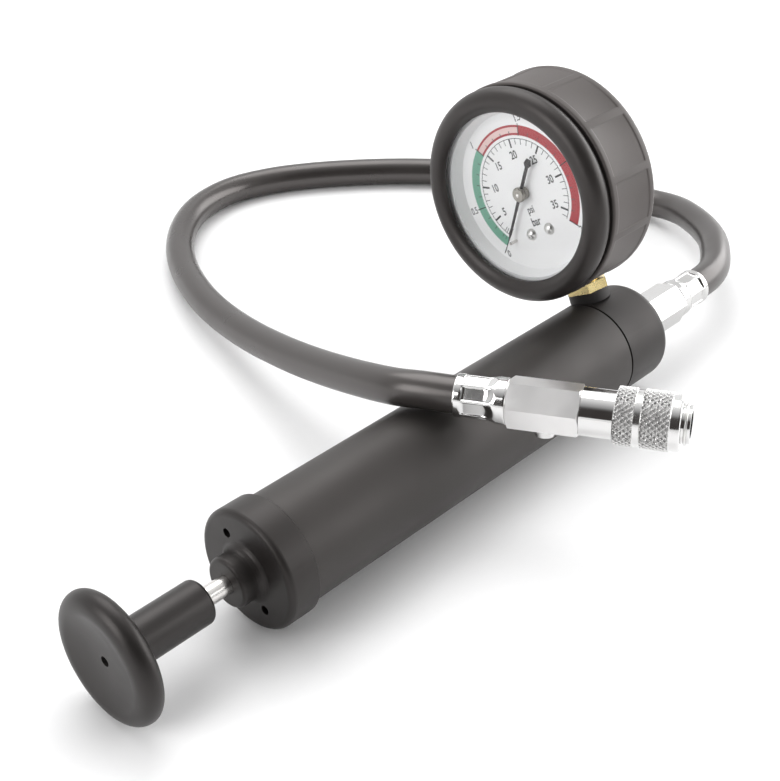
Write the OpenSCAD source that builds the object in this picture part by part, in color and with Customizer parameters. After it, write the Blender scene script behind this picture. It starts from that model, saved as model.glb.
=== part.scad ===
// Hand pump for pressure tests: a plunger pump with a dial gauge on its head, and a hose that ends in a
// quick coupler. The barrel lies along X with the handle at -X and the head at +X. The pump is drawn about
// its barrel axis with x = 0 at the joint of tube and head, and then set on the ground.

/* [Barrel] */
// Outside diameter of the barrel tube
tube_od = 36; // [32:0.5:44]
// Wall of the barrel tube
tube_wall = 2.5; // [2:0.1:4]
// Length of the barrel tube
tube_l = 160; // [120:1:220]
// Outside diameter of the front cap
cap_od = 39; // [38.5:0.5:46]
// Depth of the cap's skirt over the tube
cap_skirt = 7.5; // [5:0.5:12]
// Thickness of the cap's end wall
cap_wall = 3.6; // [3.2:0.2:8]
// Rounding of the cap's front edge
cap_round = 2; // [1:0.25:3]
// Chamfer of the cap's rear edge
cap_edge = 0.4; // [0.2:0.1:0.8]
// Diameter of the nose's flared foot on the cap
collar_d = 20.5; // [19:0.5:21]
// Height of the nose's flared foot
collar_l = 3.2; // [1:0.2:4]
// Diameter of the cap's nose
nose_d = 16; // [13:0.5:18]
// Length of the nose in front of the cap's face
nose_l = 7.4; // [5:0.2:10]
// Diameter of the two spanner holes in the cap's face
pin_hole_d = 3; // [2:0.1:3.4]
// Spacing of the two spanner holes
pin_hole_pcd = 25; // [24.5:0.5:30]
// Depth of the spanner holes
pin_hole_depth = 2; // [1:0.25:2.5]
// Lean of the line through the spanner holes
pin_hole_lean = 36; // [0:1:90]

/* [Plunger] */
// Diameter of the plunger rod
rod_d = 6; // [5:0.25:7]
// Depth of the flat ground along the rod
rod_flat = 0.7; // [0.3:0.1:1.2]
// Length of rod that shows between handle and nose
rod_show = 9; // [4:0.5:20]
// Diameter of the handle's round plate
handle_od = 41; // [40.5:0.5:50]
// Thickness of the handle's rounded rim
rim_t = 7; // [6:0.25:10]
// Thickness of the handle's web inside the rim
web_t = 6; // [5:0.25:6.5]
// Depth of the dish in the handle's face
dish_h = 1.3; // [0.5:0.1:2]
// Diameter of the handle's shank
shank_d = 14; // [12:0.25:18]
// Length of the handle's shank
shank_l = 27.5; // [22:0.5:36]
// Diameter of the screw hole in the handle's face
handle_hole_d = 3.2; // [2.5:0.1:4]
// Thickness of the piston plate
piston_t = 6; // [4:0.5:9]
// Depth of the sealing cup
cup_l = 6.5; // [5:0.25:9]
// Thickness of the cup's base
cup_base = 2; // [1.5:0.25:3]
// Thickness of the cup's lip
cup_lip = 2; // [1.2:0.1:3]

/* [Head] */
// Length of the head behind the tube
head_l = 23; // [21:0.5:32]
// Rounding of the head's rear edge
head_round = 3.5; // [2:0.25:6]
// Width of the shadow groove between tube and head
groove_w = 0.8; // [0.5:0.1:1.5]
// Depth of the shadow groove
groove_depth = 0.8; // [0.4:0.1:1.4]
// Length of the head's spigot inside the tube
spigot_l = 14; // [12:0.5:20]
// Thickness of the O-rings
oring_d = 2; // [1.5:0.1:2.4]
// Diameter of the check valve's inlet hole
inlet_d = 3; // [2:0.1:3.6]
// Diameter of the check valve's ball
ball_d = 5; // [4.5:0.1:5.6]
// Diameter of the check valve's chamber
chamber_d = 7; // [6.5:0.1:7.5]
// Thickness of the wall that the ball closes
seat_t = 4; // [3:0.25:5]

/* [Gauge] */
// Lean of the gauge about the barrel, as the pump lies
gauge_lean = 25; // [0:1:40]
// Height of the dial's centre over the barrel axis
gauge_h = 63; // [62:0.5:75]
// Distance from the tube's end back to the gauge's stem
stem_x = 7.8; // [7.5:0.1:8.5]
// Distance from the stem forward to the dial
dial_off = 17; // [16:0.25:18]
// Outside diameter of the gauge's case
case_od = 66; // [62:0.5:68]
// Wall of the gauge's case
case_wall = 1; // [0.7:0.1:1.5]
// Thickness of the rubber boot's side
boot_wall = 5.1; // [3:0.1:5.4]
// Diameter of the boot's round front lip
lip_d = 8.8; // [8:0.2:10]
// Thickness of the boot's rear wall
boot_back = 2.4; // [1.5:0.1:4]
// Diameter of the opening in the boot's rear wall
boot_hole_d = 52; // [40:1:56]
// Number of panels round the boot
panel_n = 12; // [6:1:18]
// Width across flats of the stem's hexagon
stem_af = 14; // [13:0.5:16]
// Thickness of the gauge's window
lens_t = 1.5; // [1:0.25:2]
// Distance from the window to the dial
lens_gap = 4.4; // [4.2:0.1:5]
// Width of the sloped ring round the dial
flange_w = 4; // [2:0.25:6]
// Thickness of the dial plate
dial_t = 0.8; // [0.5:0.1:1]
// Turn of the dial on the stem
dial_turn = -8; // [-12:1:0]
// Reach of the pointer's tip
needle_r = 20; // [15:0.5:20.5]
// Reach of the pointer's tail
tail_r = 13.8; // [8:0.2:16]
// Distance of the dial screws from the centre
screw_r = 15.2; // [14.5:0.1:16]
// Pitch radius of the pinion
pinion_r = 1.4; // [1:0.1:2]
// Turns of the pinion for one turn of the sector
sector_ratio = 10; // [8:0.5:12]

/* [Hose and coupler] */
// Outside diameter of the hose
hose_od = 12; // [9:0.5:12]
// Diameter of the ferrules at the hose
ferrule_d = 13.6; // [13:0.1:15]
// Diameter of the ferrules at the collar
ferrule_collar_d = 14.6; // [14:0.1:16]
// Length of the ferrules
ferrule_l = 16.5; // [15:0.5:22]
// Number of flutes round a ferrule
flute_n = 8; // [6:1:10]
// Length of the neck behind the head
neck_l = 4.5; // [3:0.5:10]
// Length of the hexagons behind the ferrules
hex_l = 22.5; // [18:0.5:28]
// Width across flats of these hexagons
hex_af = 14.4; // [13:0.1:16]
// Diameter of the coupler's body
body_d = 15; // [14:0.1:16]
// Length of the coupler's body in front of the sleeve
body_l = 10.1; // [9:0.1:14]
// Outside diameter of the sleeve
sleeve_d = 18; // [17.5:0.1:20]
// Length of the sleeve
sleeve_l = 19.6; // [19:0.2:26]
// Travel of the sleeve
sleeve_stroke = 4; // [3:0.25:5]
// Diameter of the coupler's nose
core_d = 11.6; // [11:0.1:12]
// Length of the nose past the sleeve
core_show = 2.6; // [2.2:0.2:5]
// Diameter of the coupler's bore
mouth_d = 8.2; // [7:0.1:8.4]
// Depth of the coupler's bore
mouth_l = 12; // [9:0.5:13]
// Wire of the snap ring
snap_wire = 0.9; // [0.6:0.1:1.1]

/* [Clearances] */
// Clearance all round between the rod and its guide
rod_fit = 0.08; // [0.03:0.01:0.1]
// Clearance all round between the cup and the tube
cup_fit = 0.1; // [0.05:0.01:0.15]
// Clearance all round between fixed pieces
fit = 0.1; // [0.05:0.01:0.15]
// Clearance between pieces that move past each other
run = 0.3; // [0.2:0.05:0.5]

/* [Hidden] */
$fn = 96;
eps = 0.02;
over = 1;
edge = 0.4;
turn_step = 15;
tube_id = tube_od - 2 * tube_wall;

// Stations along the barrel
cap_face = -(tube_l + cap_wall);
cap_rear = -tube_l + cap_skirt;
nose_tip = cap_face - nose_l;
shank_end = nose_tip - rod_show;
rim_x = shank_end - shank_l - rim_t / 2;
handle_front = rim_x - rim_t / 2;
neck_x = head_l;
nipple_x = neck_x + neck_l;
rear_ferrule_x = nipple_x + hex_l;
rear_end = rear_ferrule_x + ferrule_l;

// Piston stack, from the rod's tip towards the handle
tip_gap = 0.6;
hex_cut = 0.75;
hex_drop = 0.2;
nut_t = 4;
nut_af = 10;
washer_t = 1.2;
washer_d = 16;
thread_past = 0.8;
stop_l = 3;
stop_d = 9;
rod_tip = -(spigot_l + rod_show + tip_gap);
nut_rear = rod_tip - thread_past;
nut_front = nut_rear - nut_t;
washer_front = nut_front - washer_t;
cup_rear = washer_front - fit;
cup_front = cup_rear - cup_base;
piston_front = cup_front - piston_t;
stop_x = piston_front - fit - stop_l;
flat_x = shank_end - 2;
bush_t = 2.5;
bush_d = 10.8;
nose_round = 1.2;
web_x = handle_front + web_t;
rod_head = web_x + 1;
shank_round = 1.5;
foot_w = 4;
foot_h = 4.5;
dish_r = handle_od / 2 - rim_t / 2 - 1;
dish_ball = (dish_r * dish_r + dish_h * dish_h) / (2 * dish_h);
grub_d = 3;
grub_l = 10;
grub_x = rod_head - 3;

// Valve chamber and nipple port in the head
chamber_x = -spigot_l + seat_t;
port_d = 9.8;
port_l = 9;
port_x = head_l - port_l;
ball_x = chamber_x + sqrt(pow(ball_d / 2, 2) - pow(inlet_d / 2, 2)) + fit;
valve_wire = 0.6;
valve_spring_r = chamber_d / 2 - valve_wire / 2 - 0.7;
oring_x = -spigot_l / 2;

// Gauge stations, drawn with the dial's face at x = 0 and its centre on the axis
dial_x = stem_x - dial_off;
boot_od = case_od + 2 * boot_wall;
case_r = case_od / 2;
case_in = case_r - case_wall;
lens_back = -lens_gap;
lens_front = lens_back - lens_t;
bezel_t = 0.8;
bezel_wall = 1.3;
bezel_front = lens_front - fit - bezel_t;
bezel_in = case_r - 3.2;
lip_r = boot_od / 2 - lip_d / 2 - 0.3;
lip_x = bezel_front + 2.2;
lip_groove_x = lip_x + lip_d / 2 - 1.6;
lip_groove_w = 0.9;
body_front = lip_groove_x + lip_groove_w;
lip_groove_depth = 1.6;
body_edge = 0.7;
case_back = dial_off + 3.5;
boot_rear = case_back + fit + boot_back;
boot_round = 2.5;
boot_in = case_r - 4;
panel_front = 2.5;
panel_rear = 3.5;
panel_turn = 2;
panel_line = 0.6;
panel_depth = 0.3;
stem_r = 5;
stem_neck_r = 4.5;
seat_z = tube_od / 2 - 0.8;
seal_t = 4;
seal_r = 7.2;
stem_hex_turn = 44;
hex_z = seat_z + seal_t;
hex_top = gauge_h - boot_od / 2 - run;
stem_low = 6;
block_w = 13;
block_top = 14;
block_low = 30;
block_x = 10.2;
hole_past = 4;
plate_t = 1;
front_plate_x = 2.6;
rear_plate_x = block_x - plate_t;
plate_w = 14;
plate_top = 8;
plate_low = 22;
post_r = 1.2;
post_in = 1.8;
arbor_r = 0.6;
arbor_show = 0.15;
mesh_gap = 0.3;
sector_r = pinion_r * sector_ratio;
sector_x = 5;
sector_t = 1.2;
pivot_z = -(sector_r + pinion_r + mesh_gap);
pivot_r = 0.8;
pivot_fit = 0.06;
sector_back = 5;
sector_ahead = 32;
sector_rim = 2.4;
sector_hub_r = 2.4;
spoke_w = 1.4;
spoke_in = 4;
sector_tail = 8;
tail_w = 2;
sector_tail_turn = 13.5;
bourdon_r = 25;
bourdon_w = 2.4;
bourdon_l = 5;
bourdon_x = 12;
bourdon_start = -80;
bourdon_sweep = 305;
tip_angle = bourdon_start + bourdon_sweep;
tip_pad = 4;
pad_wall = 0.8;
seat = 0.5;
link_t = 0.8;
link_w = 1.4;
link_aside = 1;
link_x = sector_x + sector_t + run + link_t + fit;
flange_slope = 1.4;
needle_t = 0.5;
needle_x = -2.6;
needle_w = 1.1;
eye_wall = 0.8;
point_w = 0.6;
point_l = 3;
blade_l = 3.2;
blade_w = 2.8;
blade_wide = 1.9;
blade_end_w = 1.6;
hub_d = 5.2;
hub_t = 1.1;
boss_r = 2.4;
boss_end = -0.5;
zero_turn = -144;
pin_r = 0.55;
pin_past = 0.6;
pin_turn = 4.5;
pin_at = needle_r - 0.5;
screw_half = 16.5;
screw_head_r = 2.3;
screw_shank_r = 1.1;
screw_sink = 0.8;

// Coupler stations along its own axis from the hose
tail_x = ferrule_l;
body_x = tail_x + hex_l;
sleeve_x = body_x + body_l;
sleeve_end = sleeve_x + sleeve_l;
core_end = sleeve_end + core_show;
mouth_x = core_end - mouth_l;
shoulder_x = sleeve_x + 6.6;
guide_x = shoulder_x + sleeve_stroke + 3;
sleeve_edge = 0.8;
body_run = 0.15;
core_run = 0.18;
spring_wire = 1;
spring_r = core_d / 4 + body_d / 4 + fit;
lock_n = 4;
lock_d = 1.8;
lock_x = sleeve_end - 4;
lock_r = mouth_d / 2 + fit / 2 + lock_d / 2;
snap_x = core_end - core_show / 2;
snap_gap = 30;
seal_pocket_d = mouth_d - 1;
hex_turn = 15;
bore_d = 4;
barb_d = 6;
plug_d = 7.6;
plug_end_d = 5.6;
plug_h = 2.2;
plug_x = tail_x + 11.5;
plug_turn = 165;
ferrule_rim_l = 3.2;
ferrule_waist_l = 9;
ferrule_waist_end = ferrule_rim_l + ferrule_waist_l;
ferrule_flare = 2;
ferrule_waist_drop = 0.4;
ferrule_waist_r = ferrule_d / 2 - ferrule_waist_drop;
flute_r = 2;
flute_depth = 0.9;
flute_end = 0.6;

// Place of the pump in its own frame: bottom centre of its box, without the hose and coupler
ground = max(handle_od, cap_od) / 2;
mid_x = (handle_front + rear_end) / 2;
mid_y = (gauge_h * sin(gauge_lean) + boot_od / 2 - ground) / 2;

// Lie of the hose and coupler, from the barrel axis at the tube's end
coupler_at = [-82.4, -8, 25.2];
coupler_yaw = -64;
coupler_pitch = 3;
coupler_dir = [cos(coupler_pitch) * cos(coupler_yaw), cos(coupler_pitch) * sin(coupler_yaw),
    sin(coupler_pitch)];
hose_sides = 10;
hose_route = [
    [85, 3, -1], [104.5, 14.5, -2.5], [119, 27.5, -5], [131, 43, -8], [138.5, 56, -11], [141, 70, -13.5],
    [137.5, 95, -14.4], [128, 120, -14.4], [114.5, 144, -14.4], [100, 164, -14.4], [87, 178.5, -14.4],
    [72, 192, -14.4], [56, 204, -14.4], [38.5, 213.5, -14.4], [19, 218.5, -14.4], [-1, 215.5, -14.4],
    [-18, 206, -14.4], [-33.3, 191, -14.4], [-46.2, 171.4, -13.6], [-56.9, 148.5, -11.6],
    [-63.5, 129.9, -9.3], [-68.7, 112.1, -6.3], [-72.9, 95.7, -2.9], [-76.5, 80.1, 0.9], [-79.5, 66.4, 4.6],
    [-82.2, 53.4, 8.5], [-84.5, 41.6, 12.3], [-86.6, 30.1, 16.2], [-88.4, 18.5, 20.2], [-88.9, 9.5, 23.1],
    [-86.7, 2, 24.5]
];
hose_points = concat([[rear_end, 0, 0]], hose_route, [coupler_at]);

black = [0.16, 0.155, 0.15];
rubber = [0.12, 0.118, 0.115];
chrome = [0.82, 0.82, 0.83];
brass = [0.80, 0.66, 0.32];
steel = [0.62, 0.62, 0.60];
white = [0.95, 0.95, 0.95];

// Points of a rounded front corner in a profile of radius over length
function corner(r, x, round_r) =
    [for (a = [0 : turn_step : 90]) [r + round_r * cos(a), x - round_r * sin(a)]];

// Points of a hollow foot that spreads by w over a height h, from the face at x out to a stem of radius r
function foot(r, x, w, h) = [for (a = [0 : turn_step : 90]) [r + w * (1 - sin(a)), x + h * (1 - cos(a))]];

// One side of an outline, followed back along its mirror image
function mirrored(p) = concat(p, [for (i = [len(p) - 1 : -1 : 0]) [-p[i][0], p[i][1]]]);

function unit(v) = v / norm(v);
function tangent(p, i, first, last) =
    i == 0 ? unit(first) : i == len(p) - 1 ? unit(last) : unit(p[i + 1] - p[i - 1]);

// Solid tube swept through a list of points, with one flat ring at each of them
module sweep(points, r, sides, first, last, ref) {
    rings = [for (i = [0 : len(points) - 1])
        let (t = tangent(points, i, first, last), s = unit(cross(t, ref)), u = cross(s, t))
        for (k = [0 : sides - 1]) points[i] + r * (s * cos(360 * k / sides) + u * sin(360 * k / sides))];
    count = len(points);
    walls = [for (i = [0 : count - 2], k = [0 : sides - 1])
        let (a = i * sides + k, b = i * sides + (k + 1) % sides)
        each [[a, b, a + sides], [b, b + sides, a + sides]]];
    start = [for (k = [1 : sides - 2]) [0, k + 1, k]];
    base = (count - 1) * sides;
    end = [for (k = [1 : sides - 2]) [base, base + k, base + k + 1]];
    polyhedron(points = rings, faces = concat(walls, start, end), convexity = 6);
}

// Round spring along X between two stations
module coil(x0, x1, r, wire, turns) {
    steps = 10;
    n = turns * steps;
    l = x1 - x0 - wire;
    p = [for (i = [0 : n]) let (a = 360 * i / steps) [x0 + wire / 2 + l * i / n, r * cos(a), r * sin(a)]];
    sweep(p, wire / 2, 6, p[1] - p[0], p[n] - p[n - 1], [1, 0, 0]);
}

// Profile of radius over length, spun about X
module spin() rotate([0, 90, 0]) rotate_extrude() children();

// Rectangle of that profile between two stations and two radii
module band(x0, x1, r0, r1) translate([r0, x0]) square([r1 - r0, x1 - x0]);

// Straight round bar along X
module bar(x0, x1, r) translate([x0, 0, 0]) rotate([0, 90, 0]) cylinder(h = x1 - x0, r = r);

// Hexagon along X with its corners chamfered at both ends
module hex_bar(x0, x1, af, turn) {
    corner_r = af / 2 / cos(30);
    face_r = af / 2 - hex_drop;
    far_r = corner_r + fit;
    intersection() {
        translate([x0, 0, 0]) rotate([0, 90, 0]) rotate([0, 0, turn])
            cylinder(h = x1 - x0, r = corner_r, $fn = 6);
        spin() union() {
            band(x0 + hex_cut, x1 - hex_cut, 0, far_r);
            polygon([[0, x0], [face_r, x0], [far_r, x0 + hex_cut], [0, x0 + hex_cut]]);
            polygon([[0, x1 - hex_cut], [far_r, x1 - hex_cut], [face_r, x1], [0, x1]]);
        }
    }
}

// Places children from the barrel axis into the part's frame
module lay() translate([-mid_x, -mid_y, ground]) children();

// Places children drawn about the dial's centre, with Z along the stem
module at_gauge() lay() rotate([-gauge_lean, 0, 0]) translate([dial_x, 0, gauge_h]) children();

// Places children drawn about the dial's centre, with Z along the dial's own upright
module at_dial() at_gauge() rotate([dial_turn, 0, 0]) children();

// Places children drawn along the coupler's axis
module at_coupler() lay() translate(coupler_at) rotate([0, -coupler_pitch, coupler_yaw]) children();

module tube() color(black) lay() difference() {
    bar(-tube_l, 0, tube_od / 2);
    bar(-tube_l - over, 1, tube_id / 2);
}

module front_cap() color(black) lay() difference() {
    spin() difference() {
        polygon(concat(
            [[0, cap_rear], [cap_od / 2 - cap_edge, cap_rear], [cap_od / 2, cap_rear - cap_edge]],
            corner(cap_od / 2 - cap_round, cap_face + cap_round, cap_round),
            foot(nose_d / 2, cap_face, (collar_d - nose_d) / 2, -collar_l),
            corner(nose_d / 2 - nose_round, nose_tip + nose_round, nose_round),
            [[0, nose_tip]]));
        band(-tube_l, cap_rear + over, 0, tube_od / 2 + fit);
        band(-tube_l - bush_t, -tube_l + over, 0, bush_d / 2 + fit);
        band(nose_tip - over, cap_rear, 0, rod_d / 2 + rod_fit);
    }
    rotate([-pin_hole_lean, 0, 0]) for (side = [-1, 1]) translate([0, 0, side * pin_hole_pcd / 2])
        bar(cap_face - over, cap_face + pin_hole_depth, pin_hole_d / 2);
}

module rod_bush() color(steel) lay() difference() {
    bar(-tube_l - bush_t + eps, -tube_l, bush_d / 2);
    bar(-tube_l - bush_t - over, -tube_l + over, rod_d / 2 + rod_fit);
}

module head() color(black) lay() difference() {
    spin() difference() {
        union() {
            band(groove_w, head_l - head_round, 0, tube_od / 2);
            band(groove_w, head_l, 0, tube_od / 2 - head_round);
            translate([tube_od / 2 - head_round, head_l - head_round]) circle(r = head_round);
            band(0, groove_w + over, 0, tube_od / 2 - groove_depth);
            band(-spigot_l, 1, 0, tube_id / 2 - fit);
        }
        band(oring_x - oring_d / 2, oring_x + oring_d / 2, tube_id / 2 - oring_d, tube_od);
        band(-spigot_l - over, head_l, 0, inlet_d / 2);
        band(chamber_x, head_l, 0, chamber_d / 2);
        band(port_x, head_l + over, 0, port_d / 2 + fit);
    }
    rotate([-gauge_lean, 0, 0]) translate([stem_x, 0, 0]) {
        translate([0, 0, stem_low]) cylinder(h = tube_od, r = stem_r + fit);
        translate([0, 0, seat_z]) cylinder(h = tube_od, r = seal_r + fit);
        cylinder(h = stem_low + over, r = inlet_d / 2);
    }
}

module head_oring() color(rubber) lay() spin() band(oring_x - oring_d / 2 + fit, oring_x + oring_d / 2 - fit,
    tube_id / 2 - oring_d + fit, tube_id / 2 - fit);

module check_ball() color(steel) lay() translate([ball_x, 0, 0]) sphere(d = ball_d);

module check_spring() color(steel) lay()
    coil(ball_x + ball_d / 2 + fit, port_x - fit, valve_spring_r, valve_wire, 7);

module handle() color(black) lay() spin() difference() {
    union() {
        translate([handle_od / 2 - rim_t / 2, rim_x]) circle(r = rim_t / 2);
        band(handle_front, handle_front + web_t, 0, handle_od / 2 - rim_t / 2);
        polygon(concat([[0, rim_x]], foot(shank_d / 2, web_x - edge, foot_w, foot_h),
            [[0, web_x - edge + foot_h]]));
        band(rim_x, shank_end - shank_round, 0, shank_d / 2);
        band(rim_x, shank_end, 0, shank_d / 2 - shank_round);
        translate([shank_d / 2 - shank_round, shank_end - shank_round]) circle(r = shank_round);
    }
    band(rod_head, shank_end + over, 0, rod_d / 2 + fit / 2);
    band(handle_front - over, rod_head + over, 0, handle_hole_d / 2);
    translate([0, handle_front - dish_ball + dish_h]) circle(r = dish_ball, $fn = 360);
}

module handle_screw() color(steel) lay() bar(grub_x, grub_x + grub_l, grub_d / 2);

module rod() color(steel) lay() difference() {
    union() {
        bar(rod_head + fit, rod_tip, rod_d / 2);
        bar(stop_x, stop_x + stop_l, stop_d / 2);
    }
    bar(rod_head - over, grub_x + grub_l + fit, grub_d / 2 + fit / 2);
    rotate([-gauge_lean - 90, 0, 0]) translate([flat_x, -rod_d, rod_d / 2 - rod_flat])
        cube([stop_x - shank_end, 2 * rod_d, rod_d]);
}

module piston() color(black) lay() difference() {
    bar(piston_front, cup_front, tube_id / 2 - run);
    bar(piston_front - over, cup_front + over, rod_d / 2 + rod_fit);
}

module cup_seal() color(rubber) lay() spin() union() {
    band(cup_front, cup_rear, rod_d / 2 + rod_fit, tube_id / 2 - cup_fit);
    band(cup_front, cup_front + cup_l, tube_id / 2 - cup_fit - cup_lip, tube_id / 2 - cup_fit);
}

module rod_washer() color(steel) lay() difference() {
    bar(washer_front, nut_front, washer_d / 2);
    bar(washer_front - over, nut_front + over, rod_d / 2 + fit / 2);
}

module rod_nut() color(steel) lay() difference() {
    hex_bar(nut_front, nut_rear, nut_af, 0);
    bar(nut_front - over, nut_rear + over, rod_d / 2 + fit / 2);
}

// Places children along the gauge's stem, with Z up from the barrel's axis
module at_stem() lay() rotate([-gauge_lean, 0, 0]) translate([stem_x, 0, 0]) children();

module stem_seal() color(rubber) at_stem() difference() {
    translate([0, 0, seat_z]) cylinder(h = seal_t, r = seal_r);
    translate([0, 0, seat_z - over]) cylinder(h = seal_t + 2 * over, r = stem_r + fit);
}

module gauge_stem() color(brass) at_stem() difference() {
    union() {
        translate([0, 0, stem_low]) cylinder(h = hex_z - stem_low + over, r = stem_r);
        translate([0, 0, hex_z]) rotate([0, 0, stem_hex_turn])
            cylinder(h = hex_top - hex_z, r = stem_af / 2 / cos(30), $fn = 6);
        translate([0, 0, hex_top - over])
            cylinder(h = gauge_h - block_low - hex_top + 2 * over, r = stem_neck_r);
        translate([block_x - dial_off, -block_w / 2, gauge_h - block_low])
            cube([case_back - case_wall - fit - block_x, block_w, block_low - block_top]);
    }
    cylinder(h = gauge_h - bourdon_r, r = inlet_d / 2);
    translate([bourdon_x - dial_off - fit, 0, gauge_h]) rotate([dial_turn, 0, 0]) bourdon_ring(fit);
}

// The curled spring tube's section, spun from the block round to its free tip
module bourdon_ring(gap) flat(bourdon_l + 2 * gap) difference() {
    circle(r = bourdon_r + bourdon_w / 2 + gap);
    circle(r = bourdon_r - bourdon_w / 2 - gap);
    wedge(tip_angle, bourdon_start + 360);
}

// Flat shape in the dial's plane, Y across and Z up, given a thickness along X
module flat(t) rotate([90, 0, 90]) linear_extrude(t) children();

// Flat wedge between two angles less than 120 degrees apart
module wedge(a0, a1) polygon(concat([[0, 0]],
    [for (a = [a0, (a0 + a1) / 2, a1]) case_od * [cos(a), sin(a)]]));

module gauge_case() color(steel) at_gauge() difference() {
    rotate([90, 0, 0]) spin() difference() {
        band(bezel_front + bezel_t + lens_t + 2 * fit, case_back, 0, case_r);
        band(bezel_front, case_back - case_wall, 0, case_in);
    }
    translate([dial_off, 0, -case_od]) cylinder(h = case_od - block_low + hole_past, r = stem_neck_r + fit);
}

module gauge_boot() color(rubber) at_gauge() difference() {
    rotate([60, 0, 0]) spin() difference() {
        union() {
            translate([lip_r, lip_x]) circle(r = lip_d / 2);
            band(lip_x, body_front + over, boot_in, boot_od / 2 - lip_groove_depth);
            polygon([[boot_in, body_front], [boot_od / 2 - body_edge, body_front],
                [boot_od / 2, body_front + body_edge], [boot_od / 2, boot_rear - boot_round],
                [boot_in, boot_rear - boot_round]]);
            band(case_back - over, boot_rear, boot_hole_d / 2, boot_od / 2 - boot_round);
            translate([boot_od / 2 - boot_round, boot_rear - boot_round]) circle(r = boot_round);
        }
        band(bezel_front - fit, case_back + fit, 0, case_r + fit);
        band(lip_x - lip_d, bezel_front, 0, bezel_in);
    }
    for (k = [0 : panel_n - 1]) rotate([360 * k / panel_n + panel_turn, 0, 0])
        translate([body_front + panel_front, -panel_line / 2, boot_od / 2 - panel_depth])
        cube([boot_rear - panel_rear - body_front - panel_front, panel_line, panel_depth + over]);
    translate([dial_off, 0, -boot_od]) cylinder(h = boot_od - block_low + hole_past, r = stem_neck_r + run);
}

module bezel_ring() color(black) at_gauge() spin() union() {
    band(bezel_front, bezel_front + bezel_t, bezel_in + fit, case_r);
    band(bezel_front, bezel_front + bezel_t + lens_t + fit, case_r - bezel_wall, case_r);
}

module lens() color([0.8, 0.85, 0.88, 0.3]) at_gauge() bar(lens_front, lens_back, case_r - bezel_wall - fit);

module dial_flange() color(white) at_gauge() spin() polygon([
    [case_in - fit, lens_back + eps], [case_in - fit, -eps], [case_in - fit - flange_w, -eps],
    [case_in - fit - flange_w + flange_slope, lens_back + eps]]);

module dial() color(white) at_gauge() difference() {
    bar(0, dial_t, case_in - fit);
    bar(-over, dial_t + over, arbor_r + run);
    rotate([dial_turn, 0, 0]) dial_screw_places() bar(-over, dial_t + over, screw_shank_r + fit);
    rotate([zero_turn - pin_turn, 0, 0]) translate([0, 0, pin_at]) bar(-over, dial_t + over, pin_r + fit / 2);
}

// Places children at the two screws that hold the dial
module dial_screw_places() for (side = [-1, 1])
    translate([0, side * screw_r * sin(screw_half), -screw_r * cos(screw_half)]) children();

module dial_screws() color(steel) at_dial() dial_screw_places() union() {
    bar(-eps, front_plate_x + plate_t, screw_shank_r);
    intersection() {
        translate([screw_sink, 0, 0]) sphere(r = screw_head_r);
        bar(-screw_head_r, -eps, screw_head_r);
    }
}

module bourdon_tube() color(brass) at_dial() {
    translate([bourdon_x, 0, 0]) bourdon_ring(0);
    rotate([tip_angle - 90, 0, 0]) translate([link_x, -tip_pad / 2, bourdon_r - bourdon_w / 2 - pad_wall])
        cube([bourdon_x + bourdon_l - link_x + seat, tip_pad, bourdon_w + 2 * pad_wall]);
}

module tip_link() color(steel) at_dial() {
    tip = [bourdon_r * cos(tip_angle), bourdon_r * sin(tip_angle)];
    tail = [-link_aside, pivot_z - sector_tail];
    run_l = norm(tail - tip);
    turn = atan2(tail[1] - tip[1], tail[0] - tip[0]);
    translate([link_x - link_t - fit, tip[0], tip[1]]) rotate([turn, 0, 0])
        translate([0, -link_aside, -link_w / 2]) cube([link_t, run_l, link_w]);
}

module movement_frame() color(brass) at_dial() {
    difference() {
        for (x = [front_plate_x, rear_plate_x]) translate([x, -plate_w / 2, -plate_low])
            cube([plate_t, plate_w, plate_low + plate_top]);
        bar(0, block_x + over, arbor_r + pivot_fit);
        dial_screw_places() bar(0, front_plate_x + plate_t + over, screw_shank_r + fit / 2);
    }
    for (y = [-1, 1], z = [plate_top - post_in, post_in - plate_low])
        translate([0, y * (plate_w / 2 - post_in), z]) bar(front_plate_x + seat, rear_plate_x + seat, post_r);
    translate([0, 0, pivot_z]) bar(front_plate_x + seat, rear_plate_x + seat, pivot_r);
}

module sector_gear() color(brass) at_dial() translate([sector_x, 0, pivot_z]) flat(sector_t) difference() {
    union() {
        intersection() {
            difference() {
                circle(r = sector_r);
                circle(r = sector_r - sector_rim);
            }
            wedge(90 - sector_back, 90 + sector_ahead);
        }
        for (turn = [-sector_back + spoke_in, sector_ahead - spoke_in])
            rotate(turn) translate([-spoke_w / 2, 0]) square([spoke_w, sector_r - sector_rim / 2]);
        circle(r = sector_hub_r);
        rotate(180 + sector_tail_turn) translate([-tail_w / 2, 0]) square([tail_w, sector_tail]);
    }
    circle(r = pivot_r + pivot_fit);
}

module pinion() color(steel) at_gauge() union() {
    bar(needle_x - hub_t - arbor_show, rear_plate_x + plate_t, arbor_r);
    bar(sector_x - seat, sector_x + sector_t + seat, pinion_r);
}

module stop_pin() color(steel) at_gauge() rotate([zero_turn - pin_turn, 0, 0]) translate([0, 0, pin_at])
    bar(needle_x - pin_past, dial_t, pin_r);

module needle() color([0.1, 0.1, 0.1]) at_gauge() rotate([zero_turn, 0, 0]) translate([needle_x, 0, 0])
    difference() {
        union() {
            flat(needle_t) polygon(concat([[0, needle_r]], mirrored([[point_w / 2, needle_r - point_l],
                [needle_w / 2, 0], [needle_w / 2, blade_l - tail_r], [blade_w / 2, blade_wide - tail_r],
                [blade_end_w / 2, -tail_r]])));
            bar(eps, needle_t - eps, arbor_r + eye_wall);
        }
        bar(-over, needle_t + over, arbor_r + eps);
    }

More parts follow.
